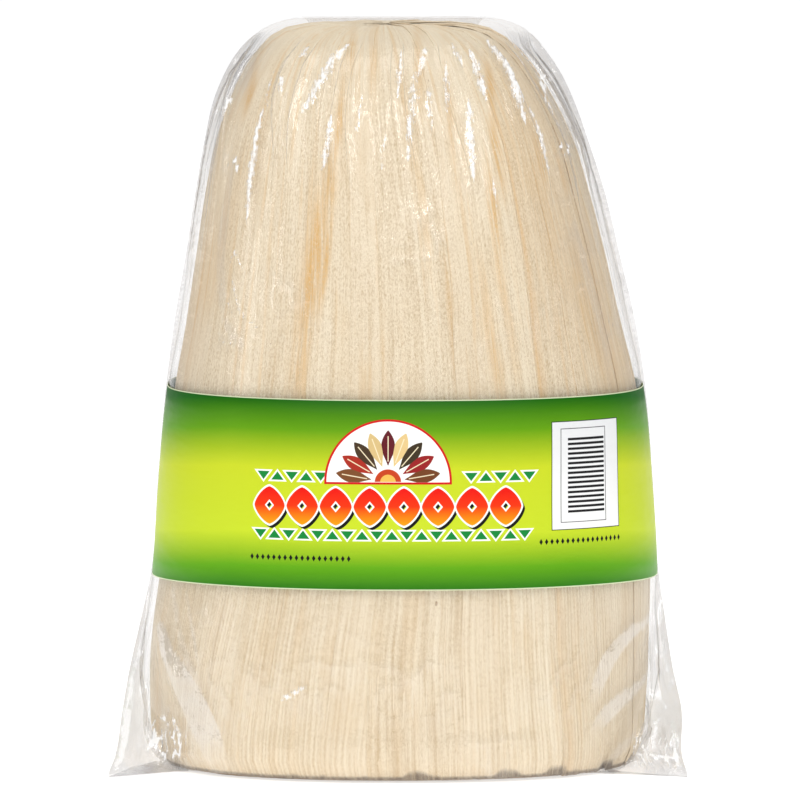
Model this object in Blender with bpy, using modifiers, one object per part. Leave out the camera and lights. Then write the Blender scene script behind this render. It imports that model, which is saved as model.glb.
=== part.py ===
"""A bundle of dried corn husks, standing on its cut ends, in a clear film bag with a printed band round it.

The husks lie butt ends down and tips up. Ten broad ones wrap the outside like overlapping petals, ten more
lie under them, and a stack of narrower ones fills the middle. The bag's neck is gathered flat and folded over
the top to the back. The frame is +Z up with the front towards -Y, and its origin is at the middle of the base.
"""

import math

import bpy
from mathutils import Vector

MM = 0.001

# The bundle's outer form: height, half width, half depth and sideways lean of its middle, all in millimetres.
# The butt ends curl in at the base, the middle is held by the band, and the tips close over the top.
FORM = (
    (1.5, 78.0, 57.0, 0.0),
    (6.0, 82.0, 60.5, 0.0),
    (20.0, 84.0, 62.0, 0.3),
    (42.0, 84.3, 62.4, 0.9),
    (63.5, 83.4, 62.0, 1.6),
    (95.0, 81.4, 61.0, 1.8),
    (127.0, 78.3, 59.3, 1.8),
    (150.0, 73.6, 57.0, 1.2),
    (172.0, 69.4, 54.2, 0.4),
    (192.0, 66.0, 51.0, -0.6),
    (210.0, 61.4, 46.8, -1.6),
    (224.0, 55.0, 41.0, -2.3),
    (235.0, 47.0, 33.0, -2.5),
    (242.0, 37.0, 23.0, -2.2),
    (245.5, 25.0, 12.0, -2.0),
)
SQUARENESS = 2.4

# Above this height the form slopes in so much that a husk's depth under it also sets the husk lower.
SLOPE_FROM = 130.0
LEAST_HALF = 2.0

# Piece after piece is varied by the golden section, with a step of its own for each thing that varies.
GOLDEN_SECTION = 0.618034
SCATTER_STEP = 0.377

# The husks. Each ring is a set of broad husks that overlap like shingles: one side edge of each lies outside
# its neighbour and the other is tucked under the neighbour on the far side.
HUSK_THICKNESS = 1.2
RING_HUSKS = 10
RING_SPAN = math.radians(110)
RING_STEP = math.radians(360 / RING_HUSKS)
RING_STAGGER = 0.35
LAYER_PITCH = 3.2
OUTER_RING_DEPTH = 0.3
INNER_RING_DEPTH = 13.0
OUTER_STATIONS = (0, 2, 4, 6, 9, 11, 13, 14)
INNER_STATIONS = (0, 3, 6, 9, 11, 12)
OUTER_COLUMNS = 10
INNER_COLUMNS = 7
TIP_SHARE = 0.22
TIP_POWER = 6
BUTT_SCATTER = 3.0
BUTT_CLEARANCE = 0.4

# The stack in the middle: narrower husks that lie one behind the other, cupped forwards or backwards.
STACK_HUSKS = 20
STACK_DEPTH = 26.5
STACK_THICKNESS = 1.0
STACK_STATIONS = (0, 4, 7, 9)
STACK_COLUMNS = 6
STACK_REACH = 0.78
STACK_TAPER = 0.25
STACK_TIP = 0.45
STACK_TIP_POWER = 3
STACK_TIP_SCATTER = 9.0
STACK_TIP_ROUND = 5.0

# The film bag, with its outer face this far outside the husks. Above the band it has pleats, which reach their
# full depth over the first stretch of film.
FILM = 0.5
FILM_GAP = 1.4
RING_POINTS = 36
PLEAT = 1.5
PLEAT_RISE = 60.0

# The bag's side seams stand out as flat fins, which end in ears at the bottom corners: height, how far the fin
# stands past the husks, how far it is pinched flat, and how far forward it leans, where 1 is as far as the ear.
FINS = (
    (0.0, 19.0, 1.0, 1.0),
    (6.0, 12.5, 1.0, 0.85),
    (20.0, 9.2, 1.0, 0.55),
    (42.0, 6.2, 1.0, 0.22),
    (63.5, 2.0, 0.0, 0.0),
    (127.0, 2.0, 0.0, 0.0),
    (150.0, 4.0, 0.6, 0.0),
    (172.0, 4.2, 0.8, 0.0),
    (192.0, 3.8, 0.8, 0.0),
    (210.0, 4.0, 0.8, 0.0),
    (224.0, 4.8, 0.7, 0.0),
    (235.0, 6.0, 0.5, 0.0),
)
EAR_FORWARD = -46.0
FIN_HALF_THICKNESS = 0.9
SIDE_POINTS = (0, RING_POINTS // 2 - 1, RING_POINTS // 2, RING_POINTS - 1)

# The bag's top, past the last ring that goes level round the husks: where the front film and the back film
# are (distance back, height) and the half width between them. The neck turns over and lies down the back.
NECK = (
    ((-22.0, 245.2), (25.5, 243.2), 45.0),
    ((-6.0, 249.6), (14.0, 247.6), 37.5),
    ((6.0, 251.0), (9.6, 248.6), 30.5),
    ((19.0, 250.2), (18.0, 247.8), 28.5),
    ((31.5, 245.6), (29.6, 243.0), 27.5),
    ((42.0, 237.0), (39.8, 235.0), 27.0),
)
NECK_LEAN = -1.8

# The band, from its lower to its upper edge.
BAND_BOTTOM = 63.9
BAND_TOP = 126.6
BAND_GAP = 0.4
BAND_THICKNESS = 0.5

HUSK_COLOUR = (0.80, 0.67, 0.46, 1.0)
FILM_COLOUR = (0.93, 0.93, 0.94, 1.0)
BAND_COLOUR = (0.32, 0.62, 0.06, 1.0)


def clear_scene():
    for old in list(bpy.data.objects):
        bpy.data.objects.remove(old)


def collection_for_the_object():
    made = bpy.data.collections.new("corn_husk_bundle")
    bpy.context.scene.collection.children.link(made)
    return made


def material(name, colour, roughness, transmission=0.0):
    made = bpy.data.materials.new(name)
    made.use_nodes = True
    surface = made.node_tree.nodes["Principled BSDF"]
    surface.inputs["Base Color"].default_value = colour
    surface.inputs["Roughness"].default_value = roughness
    surface.inputs["Metallic"].default_value = 0.0
    surface.inputs["Transmission Weight"].default_value = transmission
    return made


def scatter(number, turn):
    """An even, repeatable spread from 0 to 1 for piece after piece."""
    return (number * GOLDEN_SECTION + turn * SCATTER_STEP) % 1.0


def read(table, height):
    """A table's row at a height, with straight lines between the rows that it has."""
    for low, high in zip(table, table[1:]):
        if height <= high[0]:
            share = max(0.0, (height - low[0]) / (high[0] - low[0]))
            return tuple(a + (b - a) * share for a, b in zip(low, high))
    return table[-1]


def rounded(angle):
    """The two shares, across and back, of a point on a rounded oblong at this angle."""
    power = 2 / SQUARENESS
    across = math.copysign(abs(math.cos(angle)) ** power, math.cos(angle))
    back = math.copysign(abs(math.sin(angle)) ** power, math.sin(angle))
    return across, back


def inside_form(station, angle, depth):
    """A point that lies this deep, in millimetres, inside the bundle's outer form."""
    height, half_width, half_depth, lean = FORM[station]
    before = FORM[max(station - 1, 0)]
    after = FORM[min(station + 1, len(FORM) - 1)]
    rise = after[0] - before[0]
    shrink = before[2] - after[2]
    length = math.hypot(rise, shrink)
    inward = depth * rise / length
    down = depth * max(shrink, 0.0) / length if height > SLOPE_FROM else 0.0
    across, back = rounded(angle)
    return Vector((
        lean + max(half_width - inward, LEAST_HALF) * across,
        max(half_depth - inward, LEAST_HALF) * back,
        height - down,
    ))


def sheet_object(name, rows, finish, home, thickness, offset=-1.0, closed=False, floor=False):
    """Makes a piece from rows of points in millimetres, and gives the sheet its thickness with Solidify."""
    across = len(rows[0])
    points = [Vector(p) * MM for row in rows for p in row]
    faces = []
    for row in range(len(rows) - 1):
        for column in range(across if closed else across - 1):
            beside = (column + 1) % across
            low, high = row * across, (row + 1) * across
            faces.append((low + column, low + beside, high + beside, high + column))
    if floor:
        faces.append(tuple(reversed(range(across))))
    mesh = bpy.data.meshes.new(name)
    mesh.from_pydata(points, [], faces)
    mesh.materials.append(finish)
    mesh.shade_smooth()
    piece = bpy.data.objects.new(name, mesh)
    home.objects.link(piece)
    wall = piece.modifiers.new("thickness", "SOLIDIFY")
    wall.thickness = thickness * MM
    wall.offset = offset
    wall.use_even_offset = False
    return piece


def ring_husk(name, number, ring_depth, stations, columns, finish, home):
    """One broad husk: it goes part of the way round the bundle, sinks a little towards its tucked edge, and
    narrows to a tip where the bundle closes."""
    start = RING_STEP * (number + RING_STAGGER * scatter(number, ring_depth))
    middle = start + RING_SPAN / 2
    last = len(stations) - 1
    rows = []
    for row, station in enumerate(stations):
        narrowing = 1 - (1 - TIP_SHARE) * (row / last) ** TIP_POWER
        points = []
        for column in range(columns):
            side = column / (columns - 1) - 0.5
            angle = middle + side * RING_SPAN * narrowing
            depth = ring_depth + LAYER_PITCH * (angle - start) / RING_STEP
            point = inside_form(station, angle, depth)
            if row == 0:
                point.z += BUTT_CLEARANCE + BUTT_SCATTER * scatter(number, 3) * (1 - 2 * abs(side))
            points.append(point)
        rows.append(points)
    return sheet_object(name, rows, finish, home, HUSK_THICKNESS)


def stack_husk(name, number, finish, home):
    """One husk of the stack in the middle. It is cupped the same way as the bundle's face in front of it."""
    place = (number + 0.5) / STACK_HUSKS * 2 - 1
    last = len(STACK_STATIONS) - 1
    rows = []
    for row, station in enumerate(STACK_STATIONS):
        height, half_width, half_depth, lean = FORM[station]
        narrowing = 1 - (1 - STACK_TIP) * (row / last) ** STACK_TIP_POWER
        points = []
        for column in range(STACK_COLUMNS):
            side = (column / (STACK_COLUMNS - 1) * 2 - 1) * STACK_REACH * narrowing
            cup = (1 - abs(side) ** SQUARENESS) ** (1 / SQUARENESS)
            point = Vector((
                lean + (half_width - STACK_DEPTH) * side * (1 - STACK_TAPER * abs(place)),
                (half_depth - STACK_DEPTH) * place * cup,
                height,
            ))
            if row == 0:
                point.z += BUTT_CLEARANCE + BUTT_SCATTER * scatter(number, 5)
            if row == last:
                point.z -= STACK_TIP_SCATTER * scatter(number, 1) + STACK_TIP_ROUND * abs(side)
            points.append(point)
        rows.append(points)
    return sheet_object(name, rows, finish, home, STACK_THICKNESS, offset=0.0)


def ring_angle(number):
    """The bag's and the band's points straddle the sides, so that a fin has a point on each of its faces."""
    return (number + 0.5) / RING_POINTS * math.tau


def level_ring(height, outside=0.0):
    """One level ring of the film round the husks, with its sides drawn out into flat fins. The band's rings lie
    a little outside the bag's."""
    _, half_width, half_depth, lean = read(FORM, height)
    _, stand, pinch, forward = read(FINS, height)
    loose = min(1.0, max(0.0, (height - BAND_TOP) / PLEAT_RISE))
    points = []
    for number in range(RING_POINTS):
        across, back = rounded(ring_angle(number))
        gap = FILM_GAP + outside + PLEAT * loose * (number % 2)
        x = (half_width + gap) * across
        y = (half_depth + gap) * back
        if number in SIDE_POINTS:
            x = math.copysign(half_width + stand + outside, across)
            tip_y = EAR_FORWARD * forward + math.copysign(FIN_HALF_THICKNESS, back)
            y += (tip_y - y) * pinch
        points.append((lean + x, y, height))
    return points


def neck_ring(front, rear, half_width):
    """One ring of the bag's top, flat between its front film and its back film."""
    points = []
    for number in range(RING_POINTS):
        across, back = rounded(ring_angle(number))
        share = (back + 1) / 2
        points.append((
            NECK_LEAN + half_width * across,
            front[0] + (rear[0] - front[0]) * share,
            front[1] + (rear[1] - front[1]) * share,
        ))
    return points


def film_bag(finish, home):
    """The bag goes from its flat bottom up past the widest husks, and closes over the tips in the neck."""
    levels = [0.0] + [row[0] for row in FORM[1:] if row[0] <= FINS[-1][0]]
    rows = [level_ring(height) for height in levels]
    rows += [neck_ring(*station) for station in NECK]
    return sheet_object("film_bag", rows, finish, home, FILM, closed=True, floor=True)


def label_band(finish, home):
    heights = (BAND_BOTTOM, (BAND_BOTTOM + BAND_TOP) / 2, BAND_TOP)
    rows = [level_ring(height, BAND_GAP) for height in heights]
    return sheet_object("label_band", rows, finish, home, BAND_THICKNESS, offset=1.0, closed=True)


def main():
    clear_scene()
    home = collection_for_the_object()
    straw = material("dried_husk", HUSK_COLOUR, 0.75)
    film = material("clear_film", FILM_COLOUR, 0.12, transmission=0.9)
    print_stock = material("printed_band", BAND_COLOUR, 0.35)
    rings = (
        ("outer", OUTER_RING_DEPTH, OUTER_STATIONS, OUTER_COLUMNS),
        ("inner", INNER_RING_DEPTH, INNER_STATIONS, INNER_COLUMNS),
    )
    for ring, depth, stations, columns in rings:
        for number in range(RING_HUSKS):
            name = f"{ring}_husk_{number + 1:02d}"
            ring_husk(name, number, depth, stations, columns, straw, home)
    for number in range(STACK_HUSKS):
        stack_husk(f"stacked_husk_{number + 1:02d}", number, straw, home)
    film_bag(film, home)
    label_band(print_stock, home)


main()
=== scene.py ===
"""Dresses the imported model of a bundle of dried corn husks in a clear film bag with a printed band.

The sections follow the bundle as it is put together: the husks in the ring outside, the ring under it and
the stack in the middle, then the film bag that they stand in, then the band. Sizes are in millimetres unless
a name says otherwise, and MM turns them into the scene's metres.
"""

import math

import bpy
import numpy as np
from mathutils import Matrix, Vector


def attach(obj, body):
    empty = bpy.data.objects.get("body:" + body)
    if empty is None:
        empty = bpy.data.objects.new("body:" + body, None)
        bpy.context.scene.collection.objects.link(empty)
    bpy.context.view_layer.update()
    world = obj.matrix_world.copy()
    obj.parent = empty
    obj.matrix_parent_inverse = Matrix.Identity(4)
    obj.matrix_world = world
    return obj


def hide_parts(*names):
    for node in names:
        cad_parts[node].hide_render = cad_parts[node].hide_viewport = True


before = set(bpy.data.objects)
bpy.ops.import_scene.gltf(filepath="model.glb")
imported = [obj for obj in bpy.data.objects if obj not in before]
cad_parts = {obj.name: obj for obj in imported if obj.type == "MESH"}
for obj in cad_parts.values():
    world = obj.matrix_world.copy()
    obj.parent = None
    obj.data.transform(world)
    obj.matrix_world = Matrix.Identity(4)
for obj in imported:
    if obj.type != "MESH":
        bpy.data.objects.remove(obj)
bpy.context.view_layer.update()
MM = 0.001

# The camera. It stands in front, far off and a little above the bundle, so that it looks a few degrees down
# on it and the picture is almost free of perspective. The picture is square.
PICTURE_WIDTH = 269.8
CAMERA_TILT = math.radians(6.0)
CAMERA_DISTANCE = 3000.0
AIM_HEIGHT = 121.7
SENSOR = 36.0

camera_data = bpy.data.cameras.new("camera")
camera_data.sensor_width = SENSOR
camera_data.lens = SENSOR * CAMERA_DISTANCE / PICTURE_WIDTH
camera_data.clip_end = 100.0
camera = bpy.data.objects.new("camera", camera_data)
bpy.context.scene.collection.objects.link(camera)
towards_camera = Vector((0.0, -math.cos(CAMERA_TILT), math.sin(CAMERA_TILT)))
camera.location = (Vector((0.0, 0.0, AIM_HEIGHT)) + towards_camera * CAMERA_DISTANCE) * MM
camera.rotation_euler = (math.pi / 2 - CAMERA_TILT, 0.0, 0.0)
bpy.context.scene.camera = camera

# The studio: a pale floor under soft light. Narrow softboxes high up and at the sides draw the thin lights
# on the film's creases. Wide ones overhead, in front and behind fill in, and the world lights from all
# round.
FLOOR_SIZE_M = 24.0
FLOOR_DROP = 0.25
FLOOR_GLOW = 0.59
ROOM_LIGHT = 0.505
SOFTBOXES = (
    ("high_left_strip", (-0.8, -1.3, 1.15), (0.13, 0.9), 7.5),
    ("high_middle_strip", (0.06, -1.5, 1.2), (0.16, 0.9), 8.0),
    ("high_right_strip", (0.85, -1.25, 1.15), (0.12, 0.9), 6.5),
    ("left_strip", (-1.6, -0.65, 0.65), (0.1, 0.8), 4.2),
    ("right_strip", (1.6, -0.65, 0.65), (0.08, 0.7), 1.5),
    ("low_left_box", (-1.5, -0.7, 0.2), (0.3, 0.3), 1.9),
    ("low_right_box", (1.5, -0.7, 0.2), (0.3, 0.3), 1.1),
    ("overhead_fill", (0.0, -0.5, 2.1), (1.6, 1.3), 1.6),
    ("front_fill", (0.0, -2.5, 1.3), (2.0, 1.6), 1.0),
    ("rear_fill", (0.0, 2.5, 1.3), (2.0, 1.6), 1.2),
)
LOOK_AT_M = Vector((0.0, 0.0, 0.13))

floor_mesh = bpy.data.meshes.new("floor")
half_floor = FLOOR_SIZE_M / 2
floor_corners = [
    (x * half_floor, y * half_floor, -FLOOR_DROP * MM) for x, y in ((-1, -1), (1, -1), (1, 1), (-1, 1))
]
floor_mesh.from_pydata(floor_corners, [], [(0, 1, 2, 3)])
floor = bpy.data.objects.new("floor", floor_mesh)
bpy.context.scene.collection.objects.link(floor)
floor_paint = bpy.data.materials.new("pale_floor")
floor_paint.use_nodes = True
floor_surface = floor_paint.node_tree.nodes["Principled BSDF"]
floor_surface.inputs["Base Color"].default_value = (0.86, 0.86, 0.86, 1.0)
floor_surface.inputs["Roughness"].default_value = 0.9
floor_surface.inputs["Specular IOR Level"].default_value = 0.1
floor_surface.inputs["Emission Color"].default_value = (1.0, 1.0, 1.0, 1.0)
floor_surface.inputs["Emission Strength"].default_value = FLOOR_GLOW
floor_mesh.materials.append(floor_paint)

for box_name, place, size, brightness in SOFTBOXES:
    lamp_data = bpy.data.lights.new(box_name, "AREA")
    lamp_data.shape = "ELLIPSE"
    lamp_data.size, lamp_data.size_y = size
    lamp_data.energy = brightness * math.pi * size[0] * size[1] * math.pi / 4
    lamp = bpy.data.objects.new(box_name, lamp_data)
    lamp.location = place
    lamp.rotation_euler = (LOOK_AT_M - lamp.location).to_track_quat("-Z", "Y").to_euler()
    bpy.context.scene.collection.objects.link(lamp)

world = bpy.data.worlds.new("studio")
world.use_nodes = True
world.node_tree.nodes["Background"].inputs["Color"].default_value = (1.0, 1.0, 1.0, 1.0)
world.node_tree.nodes["Background"].inputs["Strength"].default_value = ROOM_LIGHT
bpy.context.scene.world = world
bpy.context.scene.view_settings.view_transform = "Standard"


# The outer husks: dried leaves, ribbed along their length, cut off square at the butt and drawn in to a
# tip. They lie on each other like petals, one side edge outside its neighbour and the other tucked under.
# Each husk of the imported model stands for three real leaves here, because a real one is no thicker than
# card.

# The bundle's outline, from butt to tip: height, half width, half depth, and how far it stands to the
# right.
FORM = (
    (0.35, 80.6, 59.4, 0.0),
    (6.0, 83.9, 61.6, -0.8),
    (20.0, 85.0, 62.3, -0.8),
    (42.0, 84.8, 62.4, -0.1),
    (63.5, 83.4, 62.0, 1.6),
    (95.0, 81.4, 61.0, 1.8),
    (127.0, 78.3, 59.3, 1.8),
    (150.0, 73.6, 57.0, 1.2),
    (172.0, 69.4, 54.2, 0.4),
    (192.0, 65.2, 51.0, -0.8),
    (210.0, 60.8, 47.4, -1.8),
    (224.0, 55.2, 43.2, -2.7),
    (235.0, 49.0, 37.8, -3.4),
    (242.4, 43.2, 32.0, -3.9),
    (247.2, 36.5, 24.4, -4.2),
    (249.6, 26.5, 16.0, -4.4),
    (250.7, 13.0, 8.4, -4.4),
    (251.0, 1.6, 1.2, -4.4),
)
SQUARENESS = 2.4
FORM_STEPS = 600
CURVE_POINTS = 36
CURVE_SCALE = 250.0
LEAN_SHIFT = 5.0


def through(rows, places, wanted):
    """A smooth curve through rows of numbers, read at the wanted places between their own places."""
    rows, places = np.array(rows, float), np.array(places, float)
    slopes = np.gradient(rows, places, axis=0)
    after = np.clip(np.searchsorted(places, wanted, side="right"), 1, len(places) - 1)
    width = (places[after] - places[after - 1])[:, None]
    share = np.clip((wanted - places[after - 1])[:, None] / width, 0.0, 1.0)
    low, high = rows[after - 1], rows[after]
    low_slope, high_slope = slopes[after - 1] * width, slopes[after] * width
    square, cube = share ** 2, share ** 3
    return (
        (2 * cube - 3 * square + 1) * low
        + (cube - 2 * square + share) * low_slope
        + (3 * square - 2 * cube) * high
        + (cube - square) * high_slope
    )


def run_along(rows, columns):
    """How far along its own line each row lies, by the columns that give its place."""
    steps = np.diff(np.array(rows, float)[:, columns], axis=0)
    return np.concatenate([[0.0], np.cumsum(np.linalg.norm(steps, axis=1))])


form_run = run_along(FORM, [0, 1])
FORM_LENGTH = form_run[-1]
form_places = np.linspace(0.0, FORM_LENGTH, FORM_STEPS)
form_line = through(FORM, form_run, form_places)
form_slope = np.gradient(form_line, form_places, axis=0)
form_steepness = np.hypot(form_slope[:, 0], form_slope[:, 2])
form_inward = form_slope[:, 0] / form_steepness
form_down = np.clip(-form_slope[:, 2] / form_steepness, 0.0, 1.0)


class Wire:
    """One output in a node tree, so that the tree's maths reads as ordinary arithmetic."""

    def __init__(self, bench, socket):
        self.bench = bench
        self.socket = socket

    def maths(self, operation, *others):
        return self.bench.node("ShaderNodeMath", {"operation": operation}, self, *others)

    def __add__(self, other):
        return self.maths("ADD", other)

    def __mul__(self, other):
        return self.maths("MULTIPLY", other)

    def __sub__(self, other):
        return self.maths("SUBTRACT", other)

    def __truediv__(self, other):
        return self.maths("DIVIDE", other)

    def __pow__(self, other):
        return self.maths("POWER", other)

    def __mod__(self, other):
        return self.maths("FLOORED_MODULO", other)

    def __gt__(self, other):
        return self.maths("GREATER_THAN", other)

    def __lt__(self, other):
        return self.maths("LESS_THAN", other)

    def __rsub__(self, other):
        return self.bench.node("ShaderNodeMath", {"operation": "SUBTRACT"}, other, self)

    def __rtruediv__(self, other):
        return self.bench.node("ShaderNodeMath", {"operation": "DIVIDE"}, other, self)

    def __neg__(self):
        return self * -1.0

    def __abs__(self):
        return self.maths("ABSOLUTE")

    __radd__ = __add__
    __rmul__ = __mul__

    def least(self, other):
        return self.maths("MINIMUM", other)

    def most(self, other):
        return self.maths("MAXIMUM", other)

    def between(self, low, high):
        """0 below low and 1 above high, with a soft rise from one to the other."""
        kind = {"interpolation_type": "SMOOTHSTEP"}
        return self.bench.node("ShaderNodeMapRange", kind, self, low, high, 0.0, 1.0)


class Bench:
    """A node tree that is being built."""

    def __init__(self, tree):
        self.tree = tree

    def node(self, kind, settings=None, *values, out=0, **named):
        """Adds a node: its settings first, then the values or wires of its sockets, in order or by name."""
        made = self.tree.nodes.new(kind)
        for setting, value in (settings or {}).items():
            if setting == "stops":
                ramp = made.color_ramp
                while len(ramp.elements) < len(value):
                    ramp.elements.new(1.0)
                for element, (place, colour) in zip(ramp.elements, value):
                    element.position, element.color = place, (*colour, 1.0)
            elif setting == "curve":
                line = made.mapping.curves[0]
                line.points[0].location, line.points[-1].location = value[0], value[-1]
                for place in value[1:-1]:
                    line.points.new(*place)
                made.mapping.update()
            else:
                setattr(made, setting, value)
        sockets = [socket for socket in made.inputs if socket.enabled]
        by_name = {socket.name: socket for socket in reversed(sockets)}
        chosen = list(zip(sockets, values))
        chosen += [(by_name[label.replace("_", " ")], value) for label, value in named.items()]
        for socket, value in chosen:
            if isinstance(value, Wire):
                self.tree.links.new(value.socket, socket)
            elif value is not None:
                socket.default_value = value
        return Wire(self, [s for s in made.outputs if s.enabled][out])

    def vector(self, x=0.0, y=0.0, z=0.0):
        return self.node("ShaderNodeCombineXYZ", None, x, y, z)

    def parts(self, vector):
        """The three numbers of a vector."""
        first = self.node("ShaderNodeSeparateXYZ", None, vector)
        outputs = first.socket.node.outputs
        return [Wire(self, socket) for socket in outputs]

    def noise(self, place, scale=1.0, detail=2.0, roughness=0.5):
        kind = {"noise_dimensions": "3D", "normalize": True}
        inputs = {"Vector": place, "Scale": scale, "Detail": detail, "Roughness": roughness}
        return self.node("ShaderNodeTexNoise", kind, **inputs)

    def blend(self, share, first, second):
        """Mixes two colours."""
        kind = {"data_type": "RGBA", "blend_type": "MIX", "clamp_factor": True}
        return self.node("ShaderNodeMix", kind, share, first, second)


def geometry_bench(name, inputs):
    """A new geometry tree with named inputs, and a wire for each of them."""
    tree = bpy.data.node_groups.new(name, "GeometryNodeTree")
    for label, kind, value in inputs:
        socket = tree.interface.new_socket(label, in_out="INPUT", socket_type=kind)
        if value is not None:
            socket.default_value = value
    tree.interface.new_socket("Geometry", in_out="OUTPUT", socket_type="NodeSocketGeometry")
    bench = Bench(tree)
    entry = tree.nodes.new("NodeGroupInput")
    wires = {label: Wire(bench, entry.outputs[label]) for label, _, _ in inputs}
    return bench, wires


def close_tree(bench, geometry, finish):
    """Realizes what the tree made, gives it its finish and sends it out."""
    leave = bench.tree.nodes.new("NodeGroupOutput")
    realized = bench.node("GeometryNodeRealizeInstances", None, geometry)
    finished = bench.node("GeometryNodeSetMaterial", None, realized, Material=finish)
    bench.tree.links.new(finished.socket, leave.inputs["Geometry"])


def grown(name, tree, inputs, wall=0.0):
    """Runs a geometry tree with these input values and returns the result as a plain mesh object."""
    seed = bpy.data.objects.new(name, bpy.data.meshes.new(name))
    bpy.context.scene.collection.objects.link(seed)
    growth = seed.modifiers.new("growth", "NODES")
    growth.node_group = tree
    for item in tree.interface.items_tree:
        if item.in_out == "INPUT" and item.name in inputs:
            growth[item.identifier] = inputs[item.name]
    if wall:
        thick = seed.modifiers.new("thickness", "SOLIDIFY")
        thick.thickness = wall * MM
        thick.offset = -1.0
        thick.use_even_offset = False
    graph = bpy.context.evaluated_depsgraph_get()
    mesh = bpy.data.meshes.new_from_object(seed.evaluated_get(graph))
    seed.modifiers.clear()
    seed.data = mesh
    mesh.name = name
    mesh.shade_smooth()
    return seed


def form_reading(bench, share, values, scale):
    """Reads one of the form's curves at a share of the way up it."""
    picked = np.linspace(0, FORM_STEPS - 1, CURVE_POINTS).astype(int)
    points = [(picked_at / (FORM_STEPS - 1), float(values[picked_at] / scale)) for picked_at in picked]
    return bench.node("ShaderNodeFloatCurve", {"curve": points}, 1.0, share) * scale


LEAF_INPUTS = (
    ("Finish", "NodeSocketMaterial", None),
    ("Leaves", "NodeSocketInt", 3),
    ("First leaf", "NodeSocketInt", 0),
    ("Start angle", "NodeSocketFloat", 0.0),
    ("Angle step", "NodeSocketFloat", 0.21),
    ("Angle scatter", "NodeSocketFloat", 0.12),
    ("Span", "NodeSocketFloat", 1.5),
    ("Open share", "NodeSocketFloat", 0.27),
    ("Open columns", "NodeSocketFloat", 0.88),
    ("Depth", "NodeSocketFloat", 0.3),
    ("Sink", "NodeSocketFloat", 1.0),
    ("Columns", "NodeSocketInt", 104),
    ("Rows", "NodeSocketInt", 46),
    ("Rib height", "NodeSocketFloat", 0.12),
    ("Tip share", "NodeSocketFloat", 0.34),
    ("Tip reach", "NodeSocketFloat", 1.0),
    ("Tip scatter", "NodeSocketFloat", 0.012),
    ("Tip rise", "NodeSocketFloat", 0.0),
    ("Butt scatter", "NodeSocketFloat", 0.9),
)

# Sizes that every leaf shares: how deep its butt is torn and notched, how far it swells, tucks in at the
# butt and sinks at the tip, how far the butts lean together, and the least half width and half depth at the
# tips.
TORN_DEPTH = 3.4
NOTCH_DEPTH = 2.6
SWELL = 1.5
BUTT_TUCK = 1.2
TIP_SINK = 1.2
BUTT_LEAN = -0.14
LEAST_HALF_WIDTH, LEAST_HALF_DEPTH = 1.0, 0.6
RIB_COLUMNS = 4
COLUMN_WIDTH = 0.3


def leaf_blanks(bench, given):
    """A flat blank for each leaf of a husk, with the leaf's number in the husk and in the bundle."""
    blank = bench.node("GeometryNodeMeshGrid", None, 1.0, 1.0, given["Columns"], given["Rows"])
    single = bench.node("GeometryNodeGeometryToInstance", None, blank)
    by_instance = {"domain": "INSTANCE"}
    copies = bench.node("GeometryNodeDuplicateElements", by_instance, single, Amount=given["Leaves"])
    number = Wire(bench, copies.socket.node.outputs["Duplicate Index"])
    keeping = {"data_type": "INT", "domain": "INSTANCE"}
    numbered = bench.node("GeometryNodeStoreNamedAttribute", keeping, copies, Name="leaf", Value=number)
    leaves = bench.node("GeometryNodeRealizeInstances", None, numbered)
    order = bench.node("GeometryNodeInputNamedAttribute", {"data_type": "INT"}, "leaf")
    return leaves, order, order + given["First leaf"]


def place_leaves(bench, leaves, place, finish, readings):
    """Keeps on the leaves what their finish reads, moves them to their places and closes the tree."""
    for label, kind, value in readings:
        keeping = {"data_type": kind, "domain": "POINT"}
        leaves = bench.node("GeometryNodeStoreNamedAttribute", keeping, leaves, Name=label, Value=value)
    close_tree(bench, bench.node("GeometryNodeSetPosition", None, leaves, Position=place), finish)


def chance(turn):
    """A number from 0 to 1 that is the same all over one leaf and differs from leaf to leaf."""
    return bench.node("FunctionNodeRandomValue", {"data_type": "FLOAT"}, 0.0, 1.0, ID=leaf, Seed=turn)


bench, given = geometry_bench("husk_leaves", LEAF_INPUTS)
leaves, order, leaf = leaf_blanks(bench, given)
grid_x, grid_y, _ = bench.parts(bench.node("GeometryNodeInputPosition"))
side = grid_x + 0.5
up = grid_y + 0.5
column = side * (given["Columns"] - 1.0)
open_end = given["Open columns"]
uneven = bench.noise(bench.vector(column * 0.09, leaf * 1.9), detail=1.0) - 0.5
uneven = uneven * 0.05 * (side * 30.0).least(1.0)
open_part = ((side + uneven).least(open_end) * (given["Open share"] / open_end)).most(0.0)
tucked_part = (side - open_end).most(0.0) * ((1.0 - given["Open share"]) / (1.0 - open_end))
across = open_part + tucked_part
slow_wave = bench.noise(bench.vector(up * 1.6, leaf * 3.7), detail=1.0) - 0.5
edge_wave = bench.noise(bench.vector(up * 5.0, leaf * 5.3, 4.0), detail=2.0) - 0.5
narrowing = 1.0 - (1.0 - given["Tip share"]) * up ** 5.0
first_edge = (
    given["Start angle"]
    + given["Angle step"] * order
    + given["Angle scatter"] * (chance(1) - 0.5)
    + slow_wave * given["Angle step"] * 0.6
    + edge_wave * 0.03
)
angle = first_edge + across * given["Span"] * narrowing

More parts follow.
